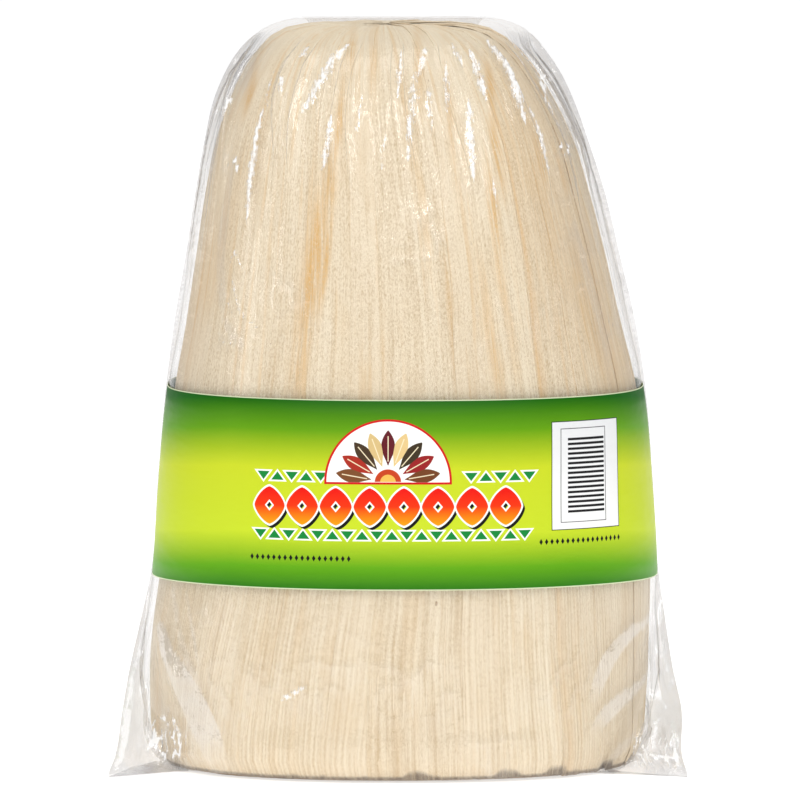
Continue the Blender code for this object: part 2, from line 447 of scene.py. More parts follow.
# Low down the leaves lean in towards the middle of the front and of the back, because the butts are
# bunched.
bunched = (1.0 - up * 3.4).most(0.0) ** 1.6
turned = angle + (angle * 2.0).maths("SINE") * bunched * BUTT_LEAN
tip = given["Tip reach"] - chance(2) * given["Tip scatter"]
torn = (bench.noise(bench.vector(column * 0.21, leaf * 9.1), detail=3.0) - 0.5) * TORN_DEPTH
notch = bench.noise(bench.vector(angle * 5.5, 2.0), detail=1.0).between(0.62, 0.7) * NOTCH_DEPTH
butt = (chance(3) * given["Butt scatter"] + torn.most(0.0) + notch) / FORM_LENGTH
share = butt + (tip - butt) * up
height = form_reading(bench, share, form_line[:, 0], CURVE_SCALE)
half_width = form_reading(bench, share, form_line[:, 1], CURVE_SCALE)
half_depth = form_reading(bench, share, form_line[:, 2], CURVE_SCALE)
lean = form_reading(bench, share, form_line[:, 3] + LEAN_SHIFT, 2 * LEAN_SHIFT) - LEAN_SHIFT
inward = form_reading(bench, share, form_inward, 1.0)
down = form_reading(bench, share, form_down, 1.0)
cosine, sine = turned.maths("COSINE"), turned.maths("SINE")

# The ribs run the whole length of the leaf, strongest at the butt.
rib_strength = bench.noise(bench.vector(column * 0.31, up * 2.0, leaf * 2.3), detail=1.0) * 1.6
rib = (column * (math.tau / RIB_COLUMNS)).maths("COSINE") * (side < open_end)
rib_height = given["Rib height"] * (0.35 + 0.9 * (1.0 - up * 1.8).most(0.0)) * rib_strength
swell = (bench.noise(bench.vector(cosine * 2.6, sine * 2.6, share * 5.0), detail=2.0) - 0.5) * SWELL
lifted_edge = (1.0 - side * 26.0).most(0.0) ** 2.0 * (0.02 + 0.08 * chance(6))
tuck = (1.0 - up * 9.0).most(0.0) * BUTT_TUCK
near_tip = (up * 5.0 - 4.0).most(0.0)
tip_sink = near_tip ** 1.5 * chance(9) * TIP_SINK
depth = (
    given["Depth"] * (1.0 - near_tip * given["Tip rise"]) + (angle - first_edge) * given["Sink"]
    + swell + 0.5 - rib * rib_height - lifted_edge + tuck + tip_sink
)

across_form = abs(cosine) ** (2 / SQUARENESS) * cosine.maths("SIGN")
back_form = abs(sine) ** (2 / SQUARENESS) * sine.maths("SIGN")
place = bench.vector(
    (lean + (half_width - depth * inward).most(LEAST_HALF_WIDTH) * across_form) * MM,
    (half_depth - depth * inward).most(LEAST_HALF_DEPTH) * back_form * MM,
    (height - depth * down) * MM,
)

# The finish reads where it is on the leaf: millimetres across and along, the rib, the leaf's own tone and
# warmth, how near it is to the open edge, and how far up the bundle.
place_leaves(bench, leaves, place, given["Finish"], (
    ("leaf_place", "FLOAT_VECTOR", bench.vector(column * COLUMN_WIDTH, share * FORM_LENGTH)),
    ("rib", "FLOAT", rib * 0.5 + 0.5),
    ("tone", "FLOAT", chance(7)),
    ("warmth", "FLOAT", chance(8)),
    ("edge", "FLOAT", across * given["Span"]),
    ("rise", "FLOAT", share),
))
leaf_tree = bench.tree


def shader_bench(name):
    """A new material, the bench for its tree, and its surface."""
    finish = bpy.data.materials.new(name)
    finish.use_nodes = True
    return finish, Bench(finish.node_tree), finish.node_tree.nodes["Principled BSDF"]


def set_surface(bench, surface, **values):
    """Sets or links sockets of a surface by name."""
    for label, value in values.items():
        socket = surface.inputs[label.replace("_", " ")]
        if isinstance(value, Wire):
            bench.tree.links.new(value.socket, socket)
        else:
            socket.default_value = value


def colour(red, green, blue):
    """A colour as a picture gives it, 0 to 255, turned into the linear values that a shader works in."""
    linear = []
    for value in (red, green, blue):
        value = value / 255
        linear.append(value / 12.92 if value <= 0.04045 else ((value + 0.055) / 1.055) ** 2.4)
    return (*linear, 1.0)


# Dried husk is pale straw, with veins along it, paler on the ribs, warmer near some leaf edges, and with a
# few orange stains and dark flecks. It is matt. Towards the tips it is painted paler, as painted light on
# the crown, and at the butt the browner cut ends carry a painted contact shadow.

# Stains on the front: how far across and how high each one lies, its half width and half height, and its
# strength.
STAINS = (
    (-29.0, 172.0, 3.0, 25.0, 1.0),
    (-24.6, 172.0, 1.2, 18.0, 0.85),
    (-23.0, 198.0, 2.4, 10.0, 0.7),
    (-20.5, 218.0, 1.5, 16.0, 0.75),
    (-15.6, 241.0, 1.5, 7.0, 0.6),
    (-32.5, 140.0, 2.6, 24.0, 0.5),
    (30.0, 230.0, 1.4, 8.0, 0.75),
    (32.3, 209.0, 1.6, 13.0, 0.9),
    (30.4, 190.0, 1.8, 16.0, 0.75),
    (47.0, 206.0, 2.0, 14.0, 0.6),
    (54.0, 200.0, 1.4, 14.0, 0.5),
    (34.0, 165.0, 1.6, 30.0, 0.45),
    (31.0, 145.0, 2.6, 28.0, 0.4),
    (-50.0, 227.0, 1.4, 7.0, 0.8),
    (6.0, 236.0, 1.5, 14.0, 0.5),
    (-8.0, 238.0, 1.8, 12.0, 0.5),
    (17.0, 216.0, 1.2, 22.0, 0.45),
    (50.0, 185.0, 9.0, 60.0, 0.28),
    (66.0, 150.0, 8.0, 60.0, 0.4),
    (-70.0, 150.0, 5.0, 50.0, 0.3),
)
STAIN_LEAN = -0.0048
HUSK_COLOURS = {
    "deep straw": colour(204, 178, 138),
    "pale straw": colour(250, 237, 211),
    "patch": colour(228, 202, 160),
    "gold": colour(230, 192, 134),
    "grain": colour(190, 152, 104),
    "aged": colour(214, 188, 152),
    "warm edge": colour(219, 172, 104),
    "stain": colour(221, 172, 90),
    "cut end and base shadow": colour(104, 84, 64),
    "fleck": colour(150, 108, 66),
}
husk_finish, bench, surface = shader_bench("dried_husk")


def held(label, output):
    """What the mesh holds under this name, as a vector from output 1 or a number from output 2."""
    kind = {"attribute_name": label, "attribute_type": "GEOMETRY"}
    return bench.node("ShaderNodeAttribute", kind, out=output)


leaf_u, leaf_v, _ = bench.parts(held("leaf_place", 1))
tone, warmth, rib, edge, rise = (held(label, 2) for label in ("tone", "warmth", "rib", "edge", "rise"))
object_place = bench.node("ShaderNodeTexCoord", out=3)
place_x, place_y, place_z = bench.parts(object_place)
veins = bench.noise(bench.vector(leaf_u * 2.2, leaf_v * 0.035, tone * 60.0), detail=3.0, roughness=0.6)
streaks = bench.noise(bench.vector(leaf_u * 0.55, leaf_v * 0.011, tone * 40.0 + 9.0), detail=2.0)
gold = bench.noise(bench.vector(leaf_u * 0.4, leaf_v * 0.014, tone * 30.0 + 5.0), detail=3.0)
speck_place = bench.vector(place_x * 2500.0, place_y * 2500.0, place_z * 1000.0)
mottle = bench.noise(speck_place, detail=1.0, roughness=0.6)
patches = bench.noise(bench.vector(leaf_u * 0.12, leaf_v * 0.03, tone * 20.0 + 3.0), detail=3.0)
butt_share = 1.0 - rise.between(0.18, 0.5)
paleness = (
    (veins - 0.5) * (0.75 + butt_share * 0.1)
    + (streaks - 0.5) * (0.55 - butt_share * 0.05)
    + (mottle - 0.5) * (1.25 - butt_share * 0.65)
    + (rib - 0.5) * (0.05 + butt_share * 0.16)
    + (tone - 0.5) * 0.2
    + 0.62 - butt_share * 0.03
    # painted light: paler towards the tips, to brighten the crown
    + rise.between(0.7, 0.9) * 0.26
)

# The stains lie in streaks that wander a little and lean with the leaves.
stain = None
for x, z, half_width, half_height, strength in STAINS:
    wander = (bench.noise(bench.vector(place_z * 22.0, x * 1.7), detail=2.0) - 0.5) * 4.0
    above_z = place_z * 1000.0 - z
    near_x = (place_x * 1000.0 - x - above_z * (x * STAIN_LEAN) + wander) / half_width
    near_z = above_z / half_height
    one = (-(near_x * near_x) - near_z * near_z).maths("EXPONENT") * strength
    stain = one if stain is None else stain.most(one)
grain = bench.noise(bench.vector(leaf_u * 1.2, leaf_v * 0.05, 5.0), detail=3.0)
stain = stain * (place_y < 0.0) * grain.between(0.26, 0.58) * (0.65 + mottle.between(0.35, 0.6) * 0.5)

warm_edge = (1.0 - edge.between(0.0, 0.09)) * warmth.between(0.55, 1.0) * streaks.between(0.35, 0.7)
# At the butt the cut ends are browner, and a painted contact shadow darkens them further, deepest in a few
# notches where shade falls between the butts.
notch_shadow = bench.noise(bench.vector(place_x * 70.0, place_y * 70.0), detail=1.0).between(0.52, 0.66)
cut_end_and_base_shadow = (1.0 - leaf_v / (2.4 + notch_shadow * 3.2)).between(0.0, 0.6) * (0.45 + grain.between(0.3, 0.6) * 0.55)
fleck = bench.noise(bench.vector(leaf_u * 0.9, leaf_v * 0.22, tone * 90.0), detail=1.0).between(0.8, 0.83)
straw = bench.blend(paleness.between(0.0, 1.0), HUSK_COLOURS["deep straw"], HUSK_COLOURS["pale straw"])
for share, tint in (
    (patches.between(0.5, 0.75) * 0.35, "patch"),
    (gold.between(0.52, 0.72) * (0.42 - butt_share * 0.25), "gold"),
    (mottle.between(0.6, 0.8) * (0.3 - butt_share * 0.2), "grain"),
    (tone.between(0.6, 1.0) * 0.22, "aged"),
    (warm_edge * 0.5, "warm edge"),
    (stain * 0.95, "stain"),
    (cut_end_and_base_shadow * 0.9, "cut end and base shadow"),
    (fleck * 0.6, "fleck"),
):
    straw = bench.blend(share, straw, HUSK_COLOURS[tint])
lift = veins * 0.5 + mottle * 0.16 + bench.noise(object_place, scale=1800.0, detail=2.0) * 0.1
bump = bench.node("ShaderNodeBump", None, Strength=0.35, Distance=0.00035, Height=lift)
set_surface(
    bench, surface, Base_Color=straw, Roughness=0.62 + mottle * 0.2, Normal=bump, Specular_IOR_Level=0.32,
)

RING_HUSKS = 10
RING_STEP = math.radians(36)
RING_STAGGER = 0.35
LEAVES_IN_HUSK = 3
HUSK_WALL = 0.28
OUTER_DEPTH = 0.3


def scatter(number, turn):
    """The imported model's even, repeatable spread from 0 to 1 for husk after husk."""
    return (number * 0.618034 + turn * 0.377) % 1.0


for number in range(RING_HUSKS):
    own_start = number + RING_STAGGER * scatter(number, OUTER_DEPTH)
    next_start = number + 1 + RING_STAGGER * scatter((number + 1) % RING_HUSKS, OUTER_DEPTH)
    husk = grown(
        f"outer_leaves_{number + 1:02d}",
        leaf_tree,
        {
            "Finish": husk_finish,
            "First leaf": number * LEAVES_IN_HUSK,
            "Start angle": RING_STEP * own_start,
            "Angle step": RING_STEP * (next_start - own_start) / LEAVES_IN_HUSK,
            "Depth": OUTER_DEPTH,
        },
        wall=HUSK_WALL,
    )
    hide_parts(f"outer_husk_{number + 1:02d}")
    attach(husk, "root")


# The inner ring of husks, under the outer one. Only their butt ends and tips ever show, so they are the
# same leaves with fewer faces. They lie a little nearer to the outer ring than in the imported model.
INNER_DEPTH = 13.0
INNER_RISE = 3.0
INNER_FIRST_LEAF = 100

for number in range(RING_HUSKS):
    husk = grown(
        f"inner_leaves_{number + 1:02d}",
        leaf_tree,
        {
            "Finish": husk_finish,
            "First leaf": INNER_FIRST_LEAF + number * LEAVES_IN_HUSK,
            "Start angle": RING_STEP * (number + RING_STAGGER * scatter(number, INNER_DEPTH)),
            "Angle step": RING_STEP / LEAVES_IN_HUSK,
            "Depth": INNER_DEPTH - INNER_RISE,
            "Sink": 4.0,
            "Columns": 26,
            "Rows": 14,
            "Open columns": 0.5,
            "Open share": 0.5,
            "Rib height": 0.0,
            "Tip scatter": 0.0,
            "Tip rise": 0.75,
        },
        wall=HUSK_WALL,
    )
    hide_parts(f"inner_husk_{number + 1:02d}")
    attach(husk, "root")


# The stack in the middle: husks pressed flat on each other, face to back, each cupped like the bundle's
# face in front of it. Their butts show under the bundle.
STACK_HUSKS = 20
STACK_INSET = 25.0
STACK_FIRST_LEAF = 200
STACK_INPUTS = (
    ("Finish", "NodeSocketMaterial", None),
    ("Leaves", "NodeSocketInt", 3),
    ("First leaf", "NodeSocketInt", 0),
    ("Place", "NodeSocketFloat", 0.0),
    ("Place step", "NodeSocketFloat", 0.033),
    ("Inset", "NodeSocketFloat", STACK_INSET),
    ("Reach", "NodeSocketFloat", 0.9),
    ("Taper", "NodeSocketFloat", 0.25),
    ("Tip share", "NodeSocketFloat", 0.45),
    ("Columns", "NodeSocketInt", 20),
    ("Rows", "NodeSocketInt", 12),
    ("Tip reach", "NodeSocketFloat", 0.66),
)
bench, given = geometry_bench("stack_leaves", STACK_INPUTS)
leaves, order, leaf = leaf_blanks(bench, given)
grid_x, grid_y, _ = bench.parts(bench.node("GeometryNodeInputPosition"))
up = grid_y + 0.5
placed = given["Place"] + given["Place step"] * (order - 1.0)
shift = (chance(1) - 0.5) * 0.16
butt = chance(3) * 3.0 / FORM_LENGTH
share = butt + (given["Tip reach"] - chance(2) * 0.05 - butt) * up
narrowing = 1.0 - (1.0 - given["Tip share"]) * up ** 3.0
side = (grid_x * 2.0 * narrowing + shift) * given["Reach"]
height = form_reading(bench, share, form_line[:, 0], CURVE_SCALE)
half_width = form_reading(bench, share, form_line[:, 1], CURVE_SCALE) - given["Inset"]
half_depth = form_reading(bench, share, form_line[:, 2], CURVE_SCALE) - given["Inset"]
lean = form_reading(bench, share, form_line[:, 3] + LEAN_SHIFT, 2 * LEAN_SHIFT) - LEAN_SHIFT
cup = (1.0 - abs(side).least(1.0) ** SQUARENESS) ** (1 / SQUARENESS)
ripple = (bench.noise(bench.vector(side * 4.0, share * 3.0, leaf * 2.0), detail=2.0) - 0.5) * 1.2
place = bench.vector(
    (lean + half_width * side * (1.0 - given["Taper"] * abs(placed))) * MM,
    (half_depth * placed * cup + ripple) * MM,
    height * MM,
)
place_leaves(bench, leaves, place, given["Finish"], (
    ("leaf_place", "FLOAT_VECTOR", bench.vector(side * 60.0, share * FORM_LENGTH)),
    ("rib", "FLOAT", 0.5),
    ("tone", "FLOAT", chance(7)),
    ("warmth", "FLOAT", chance(8)),
    ("edge", "FLOAT", 1.0 - abs(side)),
    ("rise", "FLOAT", share),
))
stack_tree = bench.tree

for number in range(STACK_HUSKS):
    husk = grown(
        f"stack_leaves_{number + 1:02d}",
        stack_tree,
        {
            "Finish": husk_finish,
            "First leaf": STACK_FIRST_LEAF + number * LEAVES_IN_HUSK,
            "Place": (number + 0.5) / STACK_HUSKS * 2 - 1,
        },
        wall=HUSK_WALL,
    )
    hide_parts(f"stacked_husk_{number + 1:02d}")
    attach(husk, "root")


# The film bag: thin clear film, a front sheet and a back sheet sealed to each other down both sides and
# along the bottom. The husks stand in it, so its bottom corners stick out as two flat ears that lean
# forward. It is drawn together over the tips in pleats and folded over to the back.
FILM_GAP = 1.4

# The side seams: height, how far the left one and the right one stand off the husks, and how far forward
# they lean, as a share of the ears' reach.
SEAMS = (
    (0.0, 15.6, 14.6, 1.0),
    (6.0, 10.6, 11.2, 0.9),
    (20.0, 7.3, 10.3, 0.6),
    (33.0, 5.3, 7.2, 0.34),
    (47.0, 3.4, 4.9, 0.12),
    (63.5, 2.4, 2.4, 0.0),
    (95.0, 2.2, 2.2, 0.0),
    (127.0, 2.4, 2.6, 0.0),
    (150.0, 3.4, 4.2, 0.0),
    (172.0, 3.0, 4.0, 0.0),
    (192.0, 2.9, 4.6, 0.0),
    (210.0, 3.1, 4.2, 0.0),
    (224.0, 4.6, 5.6, 0.0),
    (235.0, 5.3, 7.2, 0.0),
    (242.0, 5.4, 7.6, 0.0),
)
EAR_FORWARD = -46.0
SEAM_FLAT_SHARE = 0.5

# The bottom seam's line from ear to ear under the husks, and how the film turns up from it: the height
# whose outline it follows, how far outside that outline, and its own height.
BOTTOM_SEAM = (
    (-97.0, -46.0, 0.3), (-91.0, -30.0, 0.6), (-82.0, -14.0, 0.9), (-40.0, -16.0, 0.3), (30.0, -24.0, 0.3),
    (70.0, -40.0, 0.3), (97.0, -46.0, 0.3),
)
BOTTOM_TURN = ((0.0, -4.5, 0.25), (0.0, -1.6, 0.5), (1.6, 0.6, 1.6))

# The neck, from the tips to its open end behind: how far back and how high its front and its rear lie, and
# its half width.
NECK = (
    ((-30.4, 245.2), (31.2, 244.6), 47.6),
    ((-23.6, 248.2), (25.6, 247.6), 42.8),
    ((-14.0, 250.2), (21.0, 249.2), 38.2),
    ((-3.0, 250.9), (18.0, 249.8), 34.0),
    ((9.0, 250.8), (17.5, 249.9), 32.0),
    ((22.0, 249.2), (22.5, 248.4), 29.5),
    ((33.5, 245.2), (33.0, 244.4), 28.0),
    ((43.6, 236.6), (42.8, 235.9), 27.0),
)
NECK_LEAN = -2.0
BAND_BOTTOM, BAND_TOP = 63.5, 127.5
WRAP_POINTS, ROUND_POINTS, ARC_POINTS = 420, 1441, 900


def form_at(height):
    """The bundle's half width, half depth and lean at a height."""
    return tuple(np.interp(height, form_line[:, 0], form_line[:, part]) for part in (1, 2, 3))


def oblong(angles, half_width, half_depth, lean):
    """Points of the bundle's rounded oblong outline at these angles."""
    power = 2 / SQUARENESS
    across = np.abs(np.cos(angles)) ** power * np.sign(np.cos(angles))
    back = np.abs(np.sin(angles)) ** power * np.sign(np.sin(angles))
    return np.stack([lean + half_width * across, half_depth * back], axis=-1)


def evenly(line, count):
    """The same line with its points set at even distances."""
    run = np.concatenate([[0.0], np.cumsum(np.linalg.norm(np.diff(line, axis=0), axis=1))])
    wanted = np.linspace(0.0, run[-1], count)
    return np.stack([np.interp(wanted, run, line[:, part]) for part in range(line.shape[1])], axis=-1)


def taut(half_width, half_depth, lean, stands, forward, face):
    """Film pulled tight round one side of the husks, from the left seam to the right one. The face is -1 for
    the front sheet and 1 for the back sheet."""
    ends = []
    for hand, low, stand in ((-1, 0.0, stands[0]), (1, -math.pi, stands[1])):
        angles = np.linspace(low, low + math.tau, ROUND_POINTS)
        ring = oblong(angles, half_width, half_depth, lean)
        seam = np.array([lean + hand * (half_width + stand - FILM_GAP), EAR_FORWARD * forward])
        away = seam - ring
        bearing = np.arctan2(away[:, 1], hand * away[:, 0])
        front_touch, back_touch = np.argmax(bearing), np.argmin(bearing)
        middle = (ring[front_touch] + ring[back_touch]) / 2
        meeting = seam + (middle - seam) * SEAM_FLAT_SHARE
        ends.append((seam, meeting, angles[front_touch if face < 0 else back_touch]))
    (left_seam, left_meeting, from_angle), (right_seam, right_meeting, to_angle) = ends
    if face < 0:
        to_angle += math.tau
    arc = oblong(np.linspace(from_angle, to_angle, ARC_POINTS), half_width, half_depth, lean)
    return evenly(np.vstack([left_seam, left_meeting, arc, right_meeting, right_seam]), WRAP_POINTS)


def bag_stations(face):
    """The film's lines from seam to seam, from the bottom seam up to the open end of the neck."""
    seam_line = evenly(np.array(BOTTOM_SEAM), WRAP_POINTS)
    levels = []
    for height, inset, level in BOTTOM_TURN:
        half_width, half_depth, lean = form_at(max(height, 1.5))
        _, left_stand, right_stand, forward = SEAMS[0]
        stands = left_stand + FILM_GAP - inset, right_stand + FILM_GAP - inset
        line = taut(half_width + inset, half_depth + inset, lean, stands, forward, face)
        levels.append(np.column_stack([line, np.full(WRAP_POINTS, level)]))
    stations = [seam_line, (seam_line + levels[0]) / 2] + levels
    for height, left_stand, right_stand, forward in SEAMS[1:]:
        half_width, half_depth, lean = form_at(height)
        stands = left_stand, right_stand
        line = taut(half_width + FILM_GAP, half_depth + FILM_GAP, lean, stands, forward, face)
        stations.append(np.column_stack([line, np.full(WRAP_POINTS, height)]))
    for front, rear, half_width in NECK:
        angles = np.linspace(math.pi, math.pi + math.pi * -face, ARC_POINTS)
        line = oblong(angles, half_width, 1.0, NECK_LEAN)
        share = (line[:, 1] + 1) / 2
        folded = [front[part] + (rear[part] - front[part]) * share for part in (0, 1)]
        stations.append(evenly(np.column_stack([line[:, 0], *folded]), WRAP_POINTS))
    return np.array(stations)


def soft_noise(places, seed):
    """Smooth noise from -1 to 1 over two coordinates, one lattice step apart."""
    table = np.random.default_rng(seed).uniform(-1.0, 1.0, (256, 256))
    whole = np.floor(places).astype(int)
    part = places - whole
    ease = part * part * (3 - 2 * part)
    corners = [table[(whole[..., 0] + i) % 256, (whole[..., 1] + j) % 256] for i in (0, 1) for j in (0, 1)]
    low = corners[0] + (corners[1] - corners[0]) * ease[..., 1]
    high = corners[2] + (corners[3] - corners[2]) * ease[..., 1]
    return low + (high - low) * ease[..., 0]


def eased(value):
    """A soft rise from 0 to 1 as the value goes from 0 to 1."""
    value = np.clip(value, 0.0, 1.0)
    return value * value * (3 - 2 * value)


# Creases of the front film, first those under the band and then those over it: the places that each one runs
# through, across and height, then half its width and the strength of its painted glint, which also sets how
# far it stands up.
CREASES = (
    (((-39.8, 27.8), (-35.0, 30.4), (-30.0, 33.2)), 0.9, 0.95),
    (((-74.2, 19.4), (-71.5, 11.7)), 0.9, 0.9),
    (((-60.2, 167.5), (-56.6, 156.0), (-54.5, 152.8)), 0.55, 0.6),
    (((-56.0, 167.0), (-53.0, 155.5), (-46.8, 150.5)), 0.6, 0.75),
    (((-56.4, 171.4), (-54.8, 175.2), (-52.4, 169.8)), 0.6, 0.75),
    (((-45.4, 223.0), (-47.7, 214.4), (-49.5, 201.9), (-51.1, 184.0)), 1.05, 0.95),
    (((-42.1, 235.0), (-45.1, 223.4), (-46.6, 217.0)), 0.6, 0.65),
    (((-55.0, 225.2), (-60.0, 215.4)), 0.9, 0.8),
    (((-16.6, 244.2), (-22.7, 238.2), (-29.0, 226.5), (-33.2, 220.6)), 1.7, 0.85),
    (((-30.0, 243.0), (-33.5, 238.6)), 1.0, 0.8),
    (((-38.6, 233.2), (-39.5, 226.2)), 0.9, 0.85),
    (((-22.4, 221.6), (-25.9, 202.0)), 1.2, 0.85),
    (((-12.3, 227.6), (-14.8, 212.0)), 0.8, 0.7),
    (((-4.8, 216.6), (-6.2, 203.0)), 0.8, 0.7),
    (((0.4, 241.6), (-0.8, 226.8)), 1.0, 0.8),
    (((8.5, 243.0), (6.3, 232.4)), 1.5, 0.75),
    (((4.7, 235.0), (4.0, 216.0)), 1.9, 0.68),
    (((3.3, 225.0), (2.7, 205.6)), 1.2, 0.75),
    (((9.3, 231.2), (10.4, 214.6)), 1.6, 0.6),
    (((15.0, 240.0), (15.7, 221.0)), 0.9, 0.75),
    (((16.9, 244.6), (20.9, 235.8)), 1.0, 0.75),
    (((23.0, 241.8), (28.3, 225.4)), 1.3, 0.9),
    (((22.4, 226.2), (24.4, 199.0)), 1.5, 0.85),
    (((28.6, 244.8), (35.8, 233.3), (41.3, 217.6)), 1.4, 0.95),
    (((42.0, 223.0), (46.0, 213.1), (49.3, 200.0)), 0.8, 0.85),
    (((30.1, 202.0), (31.4, 190.0)), 0.8, 0.6),
    (((34.7, 246.4), (45.0, 232.9), (49.6, 222.2), (54.8, 211.0)), 0.6, 0.75),
)

# Milky veils, where two layers of the film cling together: the places that each one runs through, then half
# its width and its strength.
VEILS = (
    (((84.0, 50.0), (77.1, 47.2), (69.5, 39.2), (64.4, 27.7)), 2.5, 0.66),
    (((83.3, 31.0), (75.6, 26.5), (68.8, 22.0), (64.1, 16.5)), 2.2, 0.6),
    (((77.8, 12.0), (68.8, 5.5)), 2.0, 0.35),
    (((-79.9, 48.0), (-76.9, 38.9), (-72.2, 32.9), (-68.1, 23.4), (-62.7, 13.6), (-57.3, 4.0)), 4.0, 0.7),
    (((-71.5, 62.0), (-66.8, 37.3)), 0.5, 0.45),
    (((-76.0, 62.0), (-72.5, 44.0), (-66.0, 30.0)), 1.2, 0.3),
    (((-83.0, 58.0), (-86.5, 40.0), (-88.5, 24.0)), 0.45, 0.5),
    (((-84.5, 50.0), (-90.0, 28.0), (-93.0, 8.0)), 0.4, 0.45),
    (((85.3, 38.6), (88.0, 31.0), (90.2, 24.0)), 0.6, 0.6),
    (((88.0, 52.0), (93.0, 4.0)), 9.0, 0.4),
    (((-46.0, 246.5), (-50.9, 237.2), (-54.6, 226.0)), 2.6, 0.42),
    (((-58.2, 225.0), (-61.9, 210.6), (-65.2, 194.0)), 1.1, 0.42),
    (((-56.0, 206.0), (-58.8, 185.3), (-60.1, 170.1), (-57.9, 151.0)), 1.5, 0.34),
    (((-58.8, 153.0), (-52.0, 143.0)), 1.7, 0.34),
    (((36.0, 248.0), (45.5, 237.2), (52.5, 223.7), (58.2, 208.0)), 2.8, 0.42),
    (((55.6, 221.6), (62.2, 197.2), (66.8, 174.0)), 1.1, 0.38),
    (((57.4, 185.0), (60.1, 175.4), (64.1, 161.9), (68.1, 146.7), (70.4, 129.0)), 1.4, 0.36),
)

# Places where the film is crumpled hardest: across, height, reach, strength.
CRUMPLES = (
    (-77.0, 11.0, 8.0, 1.0),
    (86.0, 7.0, 9.0, 1.0),
    (-65.4, 56.0, 4.5, 0.9),
    (-55.4, 204.0, 3.6, 0.7),
    (-58.8, 146.0, 5.0, 0.55),
    (47.3, 229.2, 3.4, 0.6),
    (54.2, 209.0, 3.6, 0.65),
    (68.8, 149.0, 3.6, 0.7),
)
PATH_STEPS = 7

# The pleats: the least and the most of how wide they are, how far over the band they start, how far they
# stand up and how slowly they trail off, and then how deep the deepest one is.
PLEAT_WIDTHS = (2.4, 7.0)
PLEAT_STARTS = (30.0, 100.0)
PLEAT_STANDS = (0.5, 1.5)
PLEAT_TRAILS = (0.8, 3.0)
PLEAT_CAP = 1.2

# Levels on the film: where it starts to be gathered, where the pleats begin to show, where the neck begins,
# and the highest place that is still its front.
GATHERED, PLEATS_SHOW, NECK_BEGINS, FRONT_ENDS = 218.0, 150.0, 243.0, 250.5
BAG_TOP = FORM[-1][0]
FILM_CLEARANCE = 0.9
CREASE_STAND = 0.5


def smooth_sheet(face, rows):
    """One sheet before it is pleated: its points, how far up the film each row lies, and each row's level,
    which goes on rising where the neck turns down behind."""
    stations = bag_stations(face)
    steps = np.linalg.norm(np.diff(stations, axis=0), axis=2).mean(axis=1)
    places = np.concatenate([[0.0], np.cumsum(steps)])
    wanted = np.linspace(0.0, places[-1], rows)
    sheet = through(stations.reshape(len(stations), -1), places, wanted).reshape(rows, WRAP_POINTS, 3)
    level = sheet[:, WRAP_POINTS // 2, 2]
    highest = level.argmax()
    level = np.where(np.arange(rows) > highest, BAG_TOP + wanted - wanted[highest], level)
    gathered = eased((level - GATHERED) / 14.0)[1:-1, None, None]
    for _ in range((rows // 48) ** 2):
        calm = (sheet[:-2] + 2.0 * sheet[1:-1] + sheet[2:]) / 4.0
        sheet[1:-1] += (calm - sheet[1:-1]) * gathered
    return sheet, wanted, level


def lay_pleats(film, girth, wanted, level, loose, below, pleats, seed):
    """Film that the husks don't fill doubles back on itself in pleats, each from its own height upwards, so
    that every row holds the same width of film. Returns how far along its row each point lies, as a share,
    and how far it stands up."""
    draw = np.random.default_rng(seed)
    centres = (np.arange(pleats) + draw.uniform(0.12, 0.88, pleats)) / pleats * 0.94 + 0.03
    widths = draw.uniform(*PLEAT_WIDTHS, pleats)
    starts = BAND_TOP + draw.uniform(*PLEAT_STARTS, pleats)
    heights = draw.uniform(*PLEAT_STANDS, pleats)
    hands = draw.choice([-1.0, 1.0], pleats)
    trails = draw.uniform(*PLEAT_TRAILS, pleats)
    film_width = film[0, -1]
    spare = np.maximum(film_width - girth, 0.0)
    grip = eased((level[:, None] - starts[None, :]) / 55.0) + 0.22 * below
    depth = grip * (spare / np.maximum((grip * widths / 2).sum(axis=1), 1e-6))[:, None]
    shown = eased((level - PLEATS_SHOW) / 65.0) * (1.0 - 0.7 * eased((level - NECK_BEGINS) / 6.0))
    shown += eased((BAND_BOTTOM - level) / 20.0)
    depth = np.minimum(depth, PLEAT_CAP) * shown[:, None]
    spacing = np.ones((len(level), film.shape[1]))
    stand = np.zeros(spacing.shape)
    for pleat in range(pleats):
        along_pleat = np.stack([wanted / 38.0, np.full(len(wanted), pleat * 7.3)], axis=-1)
        wander = soft_noise(along_pleat, seed + 1)[:, None] * 2.2
        across = (film - centres[pleat] * film_width - wander * loose) / widths[pleat]
        fold = np.where(np.abs(across) < 0.5, np.cos(math.pi * across) ** 2, 0.0)
        spacing -= depth[:, pleat, None] * fold
        leaning = across * hands[pleat]
        rise = eased(leaning + 0.5) * np.exp(-np.maximum(leaning, 0.0) / trails[pleat])
        stand += heights[pleat] * depth[:, pleat, None] * rise
    run = np.cumsum(spacing, axis=1)
    return (run - run[:, :1]) / (run[:, -1:] - run[:, :1]), stand


def read_along(sheet, run):
    """Reads each row of a sheet at these shares of the way along it."""
    spot = np.clip(run, 0.0, 1.0) * (WRAP_POINTS - 1)
    whole = np.minimum(spot.astype(int), WRAP_POINTS - 2)
    part = (spot - whole)[..., None]
    row = np.arange(len(sheet))[:, None]
    return sheet[row, whole] * (1 - part) + sheet[row, whole + 1] * part


def outward_of(sheet, face):
    """The direction straight out of a sheet at each of its points."""
    outward = np.cross(np.gradient(sheet, axis=1), np.gradient(sheet, axis=0))
    return outward / np.maximum(np.linalg.norm(outward, axis=2, keepdims=True), 1e-9) * -face


